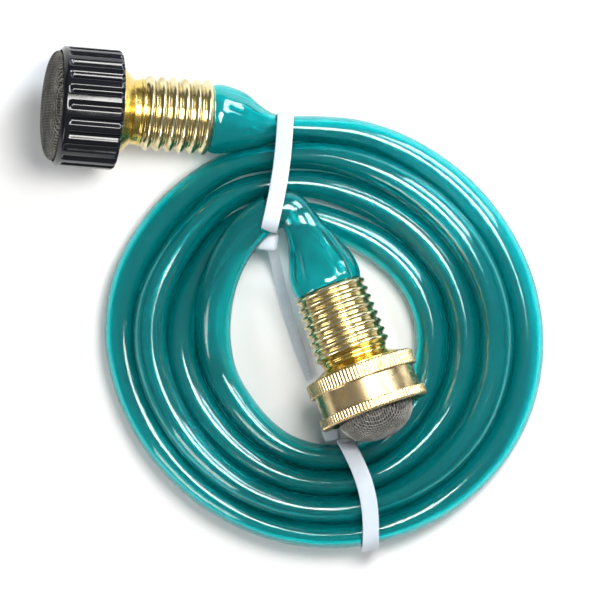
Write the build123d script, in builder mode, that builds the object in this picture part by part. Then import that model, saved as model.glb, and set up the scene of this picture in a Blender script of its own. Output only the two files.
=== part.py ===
from build123d import *
import os
from math import cos, radians, sin

# A short siphon hose wound into a flat coil, tied in two places, with a swivel coupling crimped to each
# end. Millimetres, +Z up, the coil lies on Z = 0. The origin is the middle of the whole object's footprint.
os.makedirs("parts", exist_ok=True)

# ---- driving dimensions ----
COIL_X, COIL_Y = 9.22, -9.93  # middle of the coil from the origin
HOSE_OD = 10.0
COIL_HEIGHT = 10.4  # height of the turns that lie on the floor
RAISED_TURN_R = 50.0  # the second turn rides up on its neighbours
RAISED_TURN_Z = 10.1
RAISED_TURN_SECTION = 4.7
COIL_ROUND = 4.0  # rounding of the coil's top edges

# the coil's outline: angle in degrees, radius in mm
OUTER_EDGE = [
    (0, 63.3), (30, 61.8), (50, 61.4), (70, 62.3), (88, 63.2), (99, 61.4), (112, 58.8), (128, 59.6),
    (145, 62.2), (165, 63.9), (182, 64.0), (200, 62.6), (220, 61.6), (240, 61.3), (262, 61.7), (285, 62.2),
    (305, 63.2), (325, 64.0), (343, 63.9),
]
INNER_EDGE = [
    (0, 25.7), (20, 25.0), (40, 24.7), (60, 25.6), (78, 28.2), (94, 31.6), (112, 34.4), (128, 32.8),
    (145, 29.8), (162, 27.9), (180, 27.2), (200, 27.7), (220, 29.3), (240, 31.4), (262, 32.8), (285, 32.2),
    (305, 29.6), (325, 27.2), (342, 26.1),
]

# swivel couplings, measured along the axis from the ferrule's hose end
FERRULE_LENGTH = 20.0
FERRULE_BORE_R = 9.3
OUTER_CREST_R, OUTER_VALLEY, OUTER_CRIMPS = 10.85, 0.9, 6
INNER_CREST_START_R, INNER_CREST_END_R, INNER_VALLEY, INNER_CRIMPS = 10.4, 11.2, 0.65, 8
HOSE_SLEEVE_R, SLEEVE_BORE_R = 9.2, 7.2
SLEEVE_LENGTH = 18.0
FLARE_R, FLARE_LENGTH = 9.9, 15.0
OUTER_LEAD_LENGTH = 24.0
FLARE_LIP = 1.0  # the flare turns in to the sleeve over this length
SHANK_R, SHANK_START = 7.1, 1.0
SHANK_EASE = (2.0, 0.5)  # the shank's end is eased: length, depth
SHANK_BORE_R = 5.2
NECK_R = 9.8
OUTER_NECK_END, OUTER_CONE_R = 23.4, 13.0
INNER_NECK_END, INNER_CONE_R = 22.2, 13.3
CONE_LIP = 0.4
JOURNAL_R = 10.2
NUT_HOLE_R = 10.25
FLANGE_R, FLANGE_T = 12.6, 2.4
THREAD_R = 13.5  # 3/4-11.5 hose thread, major diameter about 27
WASHER_R, WASHER_HOLE_R, WASHER_T = 13.3, 8.5, 3.0
AXIAL_GAP = 0.1
COIL_CLEARANCE = 0.5  # round the ferrule and the nut that lie against the coil

OUTER_HOSE_END = (-33.0, 62.3, 12.45)  # from the coil's middle
OUTER_AZIMUTH, OUTER_TILT = 175.8, 10.0
OUTER_NUT_START, OUTER_NUT_LENGTH, OUTER_NUT_R = 27.0, 17.5, 17.2
OUTER_BACK_WALL = 2.8
OUTER_SEAT_R, OUTER_SEAT_DEPTH, OUTER_RIM_T = 16.0, 3.0, 0.8
OUTER_RIBS, OUTER_BAND = 24, 1.5  # the ribs stop short of a plain band at the mouth
OUTER_BACK_EDGE, OUTER_MOUTH_EDGE = 1.0, 0.8
GROOVE_R, GROOVE_DEPTH = 1.5, 0.8
OUTER_RIM_R, OUTER_RIM_HOLE_R = 15.95, 13.8
OUTER_SCREEN_FOOT_R, OUTER_SCREEN_FOOT_BORE_R = 15.7, 15.1
OUTER_SCREEN_OUTSIDE = [(0.3, 15.2), (2.6, 12.6), (3.5, 7.0), (3.8, 0)]  # rise from the mouth, radius
OUTER_SCREEN_INSIDE = [(-0.1, 14.6), (2.1, 12.2), (2.9, 6.9), (3.2, 0)]

INNER_HOSE_END = (1.0, 13.4, 19.86)
INNER_AZIMUTH, INNER_TILT = -69.6, 6.0
INNER_NUT_START, INNER_NUT_LENGTH, INNER_NUT_R = 24.4, 13.7, 16.0
INNER_NUT_BAND_R, HOSE_RIM, MOUTH_RIM = 14.7, 4.3, 2.9
INNER_BACK_EDGE, INNER_MOUTH_EDGE, THREAD_LEAD = 0.5, 0.4, 0.8
INNER_BACK_WALL, INNER_RIM_T = 2.4, 0.8
INNER_RIM_R, INNER_RIM_HOLE_R = 13.2, 9.4
INNER_SCREEN_R, INNER_SCREEN_RISE = 10.8, 7.6
SCREEN_T = 0.6  # the inner strainer's mesh, two layers

# fold of the hose's inner end: from the tied turns down to the flare
FOLD_START, FOLD_CORNER = (-15.1, 34.3, 18.4), (-6.3, 33.05, 17.66)
FOLD_END, FOLD_R = 15.0, 10.0

# cable ties
STRAP_WIDTH, STRAP_T = 4.8, 1.2
SLOT_HALF = STRAP_WIDTH / 2 + 0.1  # half the width of the coil's slot for a strap
TOP_TIE_INNER, TOP_TIE_OUTER = (-16.2, 29.3), (-11.3, 64.0)  # ends of the strap, from the coil's middle
BOTTOM_TIE_INNER, BOTTOM_TIE_OUTER = (5.6, -30.0), (13.0, -62.2)
TIED_HEIGHT = 12.6  # height of the squeezed turns inside a tie
RAISED_END_TOP = 23.0  # the hose's inner end lies on the tied turns
CORE_OVERHANG = 1.5
RAISED_END_WIDTH = 10.0  # how far out the raised hose end reaches, at its full height
TOP_CORE_ROUND, BOTTOM_CORE_ROUND = 3.6, 4.0
CORE_SHOULDER = 12.5  # height of the outermost tied turn
HEAD_ROUND = 0.8
TOP_HEAD, TOP_HEAD_Z = (5.2, 6.4, 5.5), 11.0  # along the strap's plane, across it, height
TOP_TAIL = [(-15.4, 25.6, 12.0), (-14.6, 22.5, 5.0), (-11.4, 8.0, 1.0), (-4.4, -13.2, 0.6)]
TOP_TAIL_RADII = [5.0, 12.0]
TAIL_WIDTH, TAIL_T, TAIL_ACROSS = 2.8, 1.0, (0.96, 0.28, 0)  # the tail's width lies this way
BOTTOM_HEAD, BOTTOM_HEAD_Z = (4.6, 5.0, 5.0), 4.4
BOTTOM_HEAD_ASIDE = 3.5  # the strap leaves its head at one side
STUB_LENGTH, STUB_EMBED = 3.0, 0.5


def from_coil(x, y, z=0.0):
    """A point given from the coil's middle."""
    return Vector(COIL_X + x, COIL_Y + y, z)


def polar(angle, radius):
    """A point of the coil's outline."""
    return (radius * cos(radians(angle)), radius * sin(radians(angle)))


def coupling_plane(hose_end, azimuth, tilt):
    """Plane through a coupling's axis: local X runs along the axis and out of the hose."""
    turn, rise = radians(azimuth), radians(tilt)
    along = Vector(cos(rise) * cos(turn), cos(rise) * sin(turn), sin(rise))
    return Plane(origin=from_coil(*hose_end), x_dir=along, z_dir=Vector(-sin(turn), cos(turn), 0))


def tie_plane(inner, outer):
    """Upright plane of a tie's strap: local X runs outwards from the strap's inner end, local Y is up."""
    along = (Vector(*outer) - Vector(*inner)).normalized()
    return Plane(origin=from_coil(*inner), x_dir=along, z_dir=Vector(along.Y, -along.X, 0))


coil_plane = Plane(from_coil(0, 0))
outer_plane = coupling_plane(OUTER_HOSE_END, OUTER_AZIMUTH, OUTER_TILT)
inner_plane = coupling_plane(INNER_HOSE_END, INNER_AZIMUTH, INNER_TILT)
outer_axis = Axis(outer_plane.origin, outer_plane.x_dir)
inner_axis = Axis(inner_plane.origin, inner_plane.x_dir)
top_plane = tie_plane(TOP_TIE_INNER, TOP_TIE_OUTER)
bottom_plane = tie_plane(BOTTOM_TIE_INNER, BOTTOM_TIE_OUTER)
top_length = (Vector(*TOP_TIE_OUTER) - Vector(*TOP_TIE_INNER)).length
bottom_length = (Vector(*BOTTOM_TIE_OUTER) - Vector(*BOTTOM_TIE_INNER)).length

# ---- outline of the turns inside each tie ----
# top tie: four squeezed turns side by side, and the hose's inner end on top of the innermost
with BuildSketch(top_plane) as top_core:
    with BuildLine():
        Polyline(
            (STRAP_T, STRAP_T),
            (top_length - STRAP_T, STRAP_T),
            (top_length - STRAP_T, CORE_SHOULDER),
            (RAISED_END_WIDTH, RAISED_END_TOP),
            (STRAP_T, RAISED_END_TOP),
            close=True,
        )
    make_face()
    fillet(top_core.vertices(), TOP_CORE_ROUND)

with BuildSketch(bottom_plane) as bottom_core:
    with Locations((bottom_length / 2, STRAP_T + TIED_HEIGHT / 2)):
        RectangleRounded(bottom_length - 2 * STRAP_T, TIED_HEIGHT, BOTTOM_CORE_ROUND)

# ---- hose: one closed solid of the coil's outer shape ----
with BuildPart() as hose_coil:
    with BuildSketch(coil_plane):
        with BuildLine():
            Spline(*[polar(*point) for point in OUTER_EDGE], periodic=True)
        make_face()
        with BuildLine():
            Spline(*[polar(*point) for point in INNER_EDGE], periodic=True)
        make_face(mode=Mode.SUBTRACT)
    extrude(amount=COIL_HEIGHT)
    fillet(hose_coil.edges().filter_by(lambda edge: abs(edge.center().Z - COIL_HEIGHT) < 0.01), COIL_ROUND)
    # the raised turn
    with BuildSketch(Plane(coil_plane.origin, x_dir=(1, 0, 0), z_dir=(0, -1, 0))):
        with Locations((RAISED_TURN_R, RAISED_TURN_Z)):
            Circle(RAISED_TURN_SECTION)
    revolve(axis=Axis(coil_plane.origin, (0, 0, 1)))
    # each strap's slot, then the tied turns inside it
    for plane, core, length in (
        (top_plane, top_core, top_length),
        (bottom_plane, bottom_core, bottom_length),
    ):
        with BuildSketch(plane):
            with Locations((length / 2, RAISED_END_TOP / 2)):
                Rectangle(length + 3 * HOSE_OD, 2 * RAISED_END_TOP)
        extrude(amount=SLOT_HALF, both=True, mode=Mode.SUBTRACT)
        extrude(core.sketch, amount=SLOT_HALF + CORE_OVERHANG, both=True)
    # room for the couplings that lie against the coil
    with BuildSketch(outer_plane):
        Rectangle(FERRULE_LENGTH, OUTER_CREST_R + COIL_CLEARANCE, align=(Align.MIN, Align.MIN))
    revolve(axis=outer_axis, mode=Mode.SUBTRACT)
    with BuildSketch(inner_plane):
        with Locations((INNER_NUT_START - COIL_CLEARANCE, 0)):
            Rectangle(
                INNER_NUT_LENGTH + 2 * COIL_CLEARANCE, INNER_NUT_R + COIL_CLEARANCE,
                align=(Align.MIN, Align.MIN),
            )
    revolve(axis=inner_axis, mode=Mode.SUBTRACT)
hose_coil.part.label = "hose_coil"

# ---- hose: the flared lead at each end, and the sleeve of it that the ferrule grips ----
with BuildPart() as outer_hose_lead:
    with BuildSketch(outer_plane):
        with BuildLine():
            Polyline(
                (-OUTER_LEAD_LENGTH, 0), (-OUTER_LEAD_LENGTH, HOSE_OD / 2), (-FLARE_LENGTH, HOSE_OD / 2),
                (-FLARE_LIP, FLARE_R), (0, HOSE_SLEEVE_R), (SLEEVE_LENGTH, HOSE_SLEEVE_R),
                (SLEEVE_LENGTH, SLEEVE_BORE_R), (0, SLEEVE_BORE_R), (0, 0), close=True,
            )
        make_face()
    revolve(axis=outer_axis)
    split(bisect_by=top_plane.offset(-SLOT_HALF), keep=Keep.BOTTOM)
    add(hose_coil.part, mode=Mode.SUBTRACT)
outer_hose_lead.part.label = "outer_hose_lead"

fold = from_coil(*FOLD_CORNER)
with BuildPart() as inner_hose_lead:
    with BuildLine():
        lead_path = FilletPolyline(
            from_coil(*FOLD_START), fold, inner_plane.from_local_coords(Vector(-FOLD_END, 0, 0)),
            radius=FOLD_R,
        )
    with BuildSketch(lead_path ^ 0):
        Circle(HOSE_OD / 2)
    sweep(path=lead_path)
    with BuildSketch(inner_plane):
        with BuildLine():
            Polyline(
                (-FOLD_END, 0), (-FOLD_END, HOSE_OD / 2), (-FLARE_LIP, FLARE_R), (0, HOSE_SLEEVE_R),
                (SLEEVE_LENGTH, HOSE_SLEEVE_R), (SLEEVE_LENGTH, SLEEVE_BORE_R), (0, SLEEVE_BORE_R),
                (0, 0), close=True,
            )
        make_face()
    revolve(axis=inner_axis)
    split(bisect_by=top_plane.offset(SLOT_HALF), keep=Keep.TOP)
    add(hose_coil.part, mode=Mode.SUBTRACT)
inner_hose_lead.part.label = "inner_hose_lead"

# ---- ferrules: thin brass sleeves pressed into ribs over the hose ----


def rib_points(ribs, crest_start, crest_end, depth):
    """Crests and valleys along a crimped sleeve, from the hose end to the nut end."""
    pitch = FERRULE_LENGTH / ribs
    points = []
    for rib in range(ribs):
        crest = crest_start + (crest_end - crest_start) * rib / (ribs - 1)
        points += [(pitch * (rib + 0.5), crest), (pitch * (rib + 1), crest - depth)]
    return [(0, crest_start - depth)] + points


outer_ribs = rib_points(OUTER_CRIMPS, OUTER_CREST_R, OUTER_CREST_R, OUTER_VALLEY)
inner_ribs = rib_points(INNER_CRIMPS, INNER_CREST_START_R, INNER_CREST_END_R, INNER_VALLEY)
ferrules = {}
for name, plane, axis, ribs in (
    ("outer_ferrule", outer_plane, outer_axis, outer_ribs),
    ("inner_ferrule", inner_plane, inner_axis, inner_ribs),
):
    with BuildPart() as ferrule:
        with BuildSketch(plane):
            with BuildLine():
                Spline(*ribs)
                Polyline(ribs[-1], (FERRULE_LENGTH, FERRULE_BORE_R), (0, FERRULE_BORE_R), ribs[0])
            make_face()
        revolve(axis=axis)
    ferrule.part.label = name
    ferrules[name] = ferrule

# ---- tailpieces: brass shank in the hose, neck, cone, journal in the nut's back, and seat flange ----
neck_start = FERRULE_LENGTH + AXIAL_GAP
tailpieces = {}
for name, plane, axis, nut_start, neck_end, cone_r, wall in (
    (
        "outer_tailpiece", outer_plane, outer_axis, OUTER_NUT_START,
        OUTER_NECK_END, OUTER_CONE_R, OUTER_BACK_WALL,
    ),
    (
        "inner_tailpiece", inner_plane, inner_axis, INNER_NUT_START,
        INNER_NECK_END, INNER_CONE_R, INNER_BACK_WALL,
    ),
):
    cone_end = nut_start - AXIAL_GAP
    flange_start = nut_start + wall + AXIAL_GAP
    flange_end = flange_start + FLANGE_T
    with BuildPart() as tailpiece:
        with BuildSketch(plane):
            with BuildLine():
                Polyline(
                    (SHANK_START, SHANK_BORE_R), (SHANK_START, SHANK_R - SHANK_EASE[1]),
                    (SHANK_START + SHANK_EASE[0], SHANK_R), (SLEEVE_LENGTH + AXIAL_GAP, SHANK_R),
                    (neck_start, FERRULE_BORE_R - AXIAL_GAP), (neck_start, NECK_R), (neck_end, NECK_R),
                    (cone_end - CONE_LIP, cone_r), (cone_end, cone_r), (cone_end, JOURNAL_R),
                    (flange_start, JOURNAL_R), (flange_start, FLANGE_R), (flange_end, FLANGE_R),
                    (flange_end, SHANK_BORE_R), close=True,
                )
            make_face()
        revolve(axis=axis)
    tailpiece.part.label = name
    tailpieces[name] = tailpiece

# ---- black nut: ribbed plastic, with a deep mouth that holds the wide strainer ----
outer_back_end = OUTER_NUT_START + OUTER_BACK_WALL
outer_mouth = OUTER_NUT_START + OUTER_NUT_LENGTH
outer_seat = outer_mouth - OUTER_SEAT_DEPTH
with BuildPart() as black_nut:
    with BuildSketch(outer_plane):
        with BuildLine():
            Polyline(
                (OUTER_NUT_START, NUT_HOLE_R), (OUTER_NUT_START, OUTER_NUT_R - OUTER_BACK_EDGE),
                (OUTER_NUT_START + OUTER_BACK_EDGE, OUTER_NUT_R),
                (outer_mouth - OUTER_MOUTH_EDGE, OUTER_NUT_R),
                (outer_mouth, OUTER_NUT_R - OUTER_MOUTH_EDGE), (outer_mouth, OUTER_SEAT_R),
                (outer_seat, OUTER_SEAT_R), (outer_seat, THREAD_R), (outer_back_end, THREAD_R),
                (outer_back_end, NUT_HOLE_R), close=True,
            )
        make_face()
    revolve(axis=outer_axis)
    groove_plane = Plane(
        outer_plane.origin + outer_plane.x_dir * OUTER_NUT_START,
        x_dir=outer_plane.y_dir, z_dir=outer_plane.x_dir,
    )
    with BuildSketch(groove_plane):
        with PolarLocations(OUTER_NUT_R + GROOVE_R - GROOVE_DEPTH, OUTER_RIBS):
            Circle(GROOVE_R)
    extrude(amount=OUTER_NUT_LENGTH - OUTER_BAND, mode=Mode.SUBTRACT)
black_nut.part.label = "black_nut"

# ---- brass nut: two knurled rims with a plain band between them ----
inner_back_end = INNER_NUT_START + INNER_BACK_WALL
inner_mouth = INNER_NUT_START + INNER_NUT_LENGTH
with BuildPart() as brass_nut:
    with BuildSketch(inner_plane):
        with BuildLine():
            Polyline(
                (INNER_NUT_START, NUT_HOLE_R), (INNER_NUT_START, INNER_NUT_R - INNER_BACK_EDGE),
                (INNER_NUT_START + INNER_BACK_EDGE, INNER_NUT_R), (INNER_NUT_START + HOSE_RIM, INNER_NUT_R),
                (INNER_NUT_START + HOSE_RIM, INNER_NUT_BAND_R), (inner_mouth - MOUTH_RIM, INNER_NUT_BAND_R),
                (inner_mouth - MOUTH_RIM, INNER_NUT_R), (inner_mouth - INNER_MOUTH_EDGE, INNER_NUT_R),
                (inner_mouth, INNER_NUT_R - INNER_MOUTH_EDGE), (inner_mouth, THREAD_R + THREAD_LEAD),
                (inner_mouth - THREAD_LEAD, THREAD_R), (inner_back_end, THREAD_R),
                (inner_back_end, NUT_HOLE_R), close=True,
            )
        make_face()
    revolve(axis=inner_axis)
brass_nut.part.label = "brass_nut"

# ---- washers: flat rubber seals on the tailpieces' flanges ----
outer_washer_start = outer_back_end + FLANGE_T + 2 * AXIAL_GAP
inner_washer_start = inner_back_end + FLANGE_T + 2 * AXIAL_GAP
washers = {}
for name, plane, axis, start in (
    ("outer_washer", outer_plane, outer_axis, outer_washer_start),
    ("inner_washer", inner_plane, inner_axis, inner_washer_start),
):
    with BuildPart() as washer:
        with BuildSketch(plane):
            with Locations((start, WASHER_HOLE_R)):
                Rectangle(WASHER_T, WASHER_R - WASHER_HOLE_R, align=(Align.MIN, Align.MIN))
        revolve(axis=axis)
    washer.part.label = name
    washers[name] = washer

# ---- strainers: a pressed steel rim in each nut, and the woven mesh dome that it holds ----
inner_rim_start = inner_washer_start + WASHER_T
rims = {}
for name, plane, axis, start, bore_r, rim_r, rim_t in (
    (
        "outer_strainer_rim", outer_plane, outer_axis, outer_seat,
        OUTER_RIM_HOLE_R, OUTER_RIM_R, OUTER_RIM_T,
    ),
    (
        "inner_strainer_rim", inner_plane, inner_axis, inner_rim_start,
        INNER_RIM_HOLE_R, INNER_RIM_R, INNER_RIM_T,
    ),
):
    with BuildPart() as rim:
        with BuildSketch(plane):
            with Locations((start, bore_r)):
                Rectangle(rim_t, rim_r - bore_r, align=(Align.MIN, Align.MIN))
        revolve(axis=axis)
    rim.part.label = name
    rims[name] = rim

with BuildPart() as outer_strainer_dome:
    with BuildSketch(outer_plane):
        with BuildLine():
            foot = outer_seat + OUTER_RIM_T
            outside = [(outer_mouth + rise, radius) for rise, radius in OUTER_SCREEN_OUTSIDE]
            inside = [(outer_mouth + rise, radius) for rise, radius in OUTER_SCREEN_INSIDE]
            Spline((foot, OUTER_SCREEN_FOOT_R), *outside, tangents=((1, 0), (0, -1)))
            Line(outside[-1], inside[-1])
            Spline((foot, OUTER_SCREEN_FOOT_BORE_R), *inside, tangents=((1, 0), (0, -1)))
            Line((foot, OUTER_SCREEN_FOOT_BORE_R), (foot, OUTER_SCREEN_FOOT_R))
        make_face()
    revolve(axis=outer_axis)
outer_strainer_dome.part.label = "outer_strainer_dome"

with BuildPart() as inner_strainer_dome:
    with BuildSketch(inner_plane):
        with BuildLine():
            foot = inner_rim_start + INNER_RIM_T
            inside_r = INNER_SCREEN_R - SCREEN_T
            inside_rise = INNER_SCREEN_RISE - SCREEN_T
            Polyline(
                (inner_mouth, inside_r), (foot, inside_r), (foot, INNER_SCREEN_R),
                (inner_mouth, INNER_SCREEN_R),
            )
            crown = EllipticalCenterArc(
                (inner_mouth, 0), INNER_SCREEN_RISE, INNER_SCREEN_R, start_angle=0, arc_size=90,
            )
            Line(crown @ 0, (inner_mouth + inside_rise, 0))
            EllipticalCenterArc((inner_mouth, 0), inside_rise, inside_r, start_angle=0, arc_size=90)
        make_face()
    revolve(axis=inner_axis)
inner_strainer_dome.part.label = "inner_strainer_dome"

# ---- cable ties: strap loop, head at its inner end, and tail ----
with BuildPart() as top_cable_tie:
    with BuildSketch(top_plane):
        add(top_core.sketch_local)
        offset(amount=STRAP_T)
        add(top_core.sketch_local, mode=Mode.SUBTRACT)
    extrude(amount=STRAP_WIDTH / 2, both=True)
    with BuildSketch(top_plane):
        with Locations((-TOP_HEAD[0] / 2, TOP_HEAD_Z + TOP_HEAD[2] / 2)):
            RectangleRounded(TOP_HEAD[0], TOP_HEAD[2], HEAD_ROUND)
    extrude(amount=TOP_HEAD[1] / 2, both=True)
    tail_line = [from_coil(*point) for point in TOP_TAIL]
    with BuildLine():
        tail_path = FilletPolyline(*tail_line, radius=TOP_TAIL_RADII)
    with BuildSketch(Plane(tail_line[0], x_dir=TAIL_ACROSS, z_dir=tail_line[1] - tail_line[0])):
        Rectangle(TAIL_WIDTH, TAIL_T)
    sweep(path=tail_path)
top_cable_tie.part.label = "top_cable_tie"

with BuildPart() as bottom_cable_tie:
    with BuildSketch(bottom_plane):
        add(bottom_core.sketch_local)
        offset(amount=STRAP_T)
        add(bottom_core.sketch_local, mode=Mode.SUBTRACT)
    extrude(amount=STRAP_WIDTH / 2, both=True)
    with BuildSketch(bottom_plane.offset(BOTTOM_HEAD_ASIDE)):
        with Locations((-BOTTOM_HEAD[0] / 2, BOTTOM_HEAD_Z + BOTTOM_HEAD[2] / 2)):
            RectangleRounded(BOTTOM_HEAD[0], BOTTOM_HEAD[2], HEAD_ROUND)
        with Locations((-BOTTOM_HEAD[0] / 2, BOTTOM_HEAD_Z - STUB_LENGTH / 2)):
            Rectangle(STRAP_T, STUB_LENGTH + 2 * STUB_EMBED)
    extrude(amount=BOTTOM_HEAD[1] / 2, both=True)
bottom_cable_tie.part.label = "bottom_cable_tie"

# ---- write every piece ----
pieces = [hose_coil, outer_hose_lead, inner_hose_lead, *ferrules.values(), *tailpieces.values()]
pieces += [black_nut, brass_nut, *washers.values(), *rims.values(), outer_strainer_dome]
pieces += [inner_strainer_dome, top_cable_tie, bottom_cable_tie]
for piece in pieces:
    export_step(piece.part, f"parts/{piece.part.label}.step")
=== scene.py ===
from math import cos, pi, radians, sin

import bmesh
import bpy
import numpy as np
from mathutils import Matrix, Vector


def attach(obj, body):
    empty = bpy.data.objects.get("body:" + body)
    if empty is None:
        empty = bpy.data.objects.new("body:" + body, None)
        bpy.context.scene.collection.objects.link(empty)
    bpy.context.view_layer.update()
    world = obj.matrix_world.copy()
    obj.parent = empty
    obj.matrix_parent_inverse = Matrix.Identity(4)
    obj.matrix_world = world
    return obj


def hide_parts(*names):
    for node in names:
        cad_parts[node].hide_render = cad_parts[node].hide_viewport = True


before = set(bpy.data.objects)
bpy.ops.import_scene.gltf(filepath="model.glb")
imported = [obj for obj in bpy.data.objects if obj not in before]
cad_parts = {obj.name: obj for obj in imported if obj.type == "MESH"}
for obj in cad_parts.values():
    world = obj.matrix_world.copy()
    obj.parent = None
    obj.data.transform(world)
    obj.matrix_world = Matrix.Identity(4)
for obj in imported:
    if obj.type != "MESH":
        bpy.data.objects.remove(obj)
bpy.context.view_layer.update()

# ---- studio ----
# A plain pale table top, a small key lamp above the coil's upper right, two wide panels on opposite
# sides, and a dim room that darkens towards its horizon, so that round metal shows a darker edge.
FLOOR_HALF = 2.0
FLOOR_COLOUR = (0.84, 0.84, 0.84, 1)
ROOM_TOP = (0.74, 0.79, 0.84, 1)
ROOM_HORIZON = (0.30, 0.31, 0.32, 1)
ROOM_STRENGTH = 0.36
EYE = (0.002, 0.0, 1.163)  # straight above the coil
LENS, SENSOR = 240.0, 36.0
LAMPS = (
    # name, place, aimed at, width, power, colour
    ("key_lamp", (0.075, 0.085, 0.36), (0.0, 0.0, 0.0), 0.14, 1.35, (1.0, 0.98, 0.94)),
    ("cool_panel", (0.40, 0.42, 0.40), (0.0, 0.0, 0.0), 0.30, 5.6, (0.84, 0.92, 1.0)),
    ("low_panel", (-0.40, -0.46, 0.34), (0.0, 0.0, 0.01), 0.30, 2.6, (1.0, 0.98, 0.96)),
)


def placed(name, data):
    """An object with this data, put into the scene."""
    thing = bpy.data.objects.new(name, data)
    bpy.context.scene.collection.objects.link(thing)
    return thing


def empty_material(name):
    """A material with no nodes yet, with its nodes and its links."""
    material = bpy.data.materials.new(name)
    material.use_nodes = True
    material.node_tree.nodes.clear()
    return material, material.node_tree.nodes, material.node_tree.links


def table_material():
    """Matt pale laminate: even colour with a faint cloudiness."""
    material, nodes, links = empty_material("table")
    place = nodes.new("ShaderNodeTexCoord")
    place.label = "place on the table"
    place.location = (-800, 0)
    cloud = nodes.new("ShaderNodeTexNoise")
    cloud.label = "faint cloudiness"
    cloud.location = (-600, 0)
    cloud.inputs["Scale"].default_value = 6.0
    tint = nodes.new("ShaderNodeValToRGB")
    tint.label = "pale laminate"
    tint.location = (-400, 0)
    tint.color_ramp.elements[0].color = tuple(0.97 * c for c in FLOOR_COLOUR[:3]) + (1,)
    tint.color_ramp.elements[1].color = FLOOR_COLOUR
    surface = nodes.new("ShaderNodeBsdfPrincipled")
    surface.label = "matt surface"
    surface.location = (-100, 0)
    surface.inputs["Roughness"].default_value = 0.7
    surface.inputs["Specular IOR Level"].default_value = 0.2
    out = nodes.new("ShaderNodeOutputMaterial")
    out.location = (200, 0)
    links.new(place.outputs["Object"], cloud.inputs["Vector"])
    links.new(cloud.outputs["Fac"], tint.inputs["Fac"])
    links.new(tint.outputs["Color"], surface.inputs["Base Color"])
    links.new(surface.outputs["BSDF"], out.inputs["Surface"])
    return material


floor_mesh = bpy.data.meshes.new("table_top")
floor_corners = [(x * FLOOR_HALF, y * FLOOR_HALF, 0) for x, y in ((-1, -1), (1, -1), (1, 1), (-1, 1))]
floor_mesh.from_pydata(floor_corners, [], [(0, 1, 2, 3)])
floor_mesh.materials.append(table_material())
placed("table_top", floor_mesh)

for name, place, target, width, power, colour in LAMPS:
    lamp = bpy.data.lights.new(name, "AREA")
    lamp.size = width
    lamp.energy = power
    lamp.color = colour
    holder = placed(name, lamp)
    holder.location = place
    holder.rotation_euler = (Vector(target) - Vector(place)).to_track_quat("-Z", "Y").to_euler()

room = bpy.data.worlds.new("room")
bpy.context.scene.world = room
room.use_nodes = True
room_nodes, room_links = room.node_tree.nodes, room.node_tree.links
room_nodes.clear()
look = room_nodes.new("ShaderNodeTexCoord")
look.label = "direction"
look.location = (-800, 0)
height = room_nodes.new("ShaderNodeSeparateXYZ")
height.label = "height above the horizon"
height.location = (-600, 0)
fade = room_nodes.new("ShaderNodeValToRGB")
fade.label = "wall to ceiling"
fade.location = (-400, 0)
fade.color_ramp.elements[0].color = ROOM_HORIZON
fade.color_ramp.elements[1].color = ROOM_TOP
fade.color_ramp.elements[1].position = 0.9
glow = room_nodes.new("ShaderNodeBackground")
glow.label = "room light"
glow.location = (-100, 0)
glow.inputs["Strength"].default_value = ROOM_STRENGTH
sky = room_nodes.new("ShaderNodeOutputWorld")
sky.location = (100, 0)
room_links.new(look.outputs["Generated"], height.inputs["Vector"])
room_links.new(height.outputs["Z"], fade.inputs["Fac"])
room_links.new(fade.outputs["Color"], glow.inputs["Color"])
room_links.new(glow.outputs["Background"], sky.inputs["Surface"])

camera = placed("camera", bpy.data.cameras.new("camera"))
camera.data.lens = LENS
camera.data.sensor_width = SENSOR
camera.data.clip_start, camera.data.clip_end = 0.01, 20.0
camera.location = EYE
bpy.context.scene.camera = camera
bpy.context.scene.view_settings.view_transform = "Standard"

# ---- hose: the coil ----
# Clear green PVC hose, 10 mm outside and 7 mm inside, wound clockwise into four turns. The ties squeeze
# the turns into tall ovals, between them the second turn rides up, and the end climbs on the third turn.
COIL = np.array([0.00922, -0.00993, 0.0])
HOSE_R, HOSE_WALL = 0.005, 0.0015
TURNS = 4
STEPS_PER_TURN = 24
STRAP_T = 0.0012
TIE_ANGLES = (101.5, 104.3, 108.1, 113.6, 114.0)  # where each turn passes under the top tie's slanting strap
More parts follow.
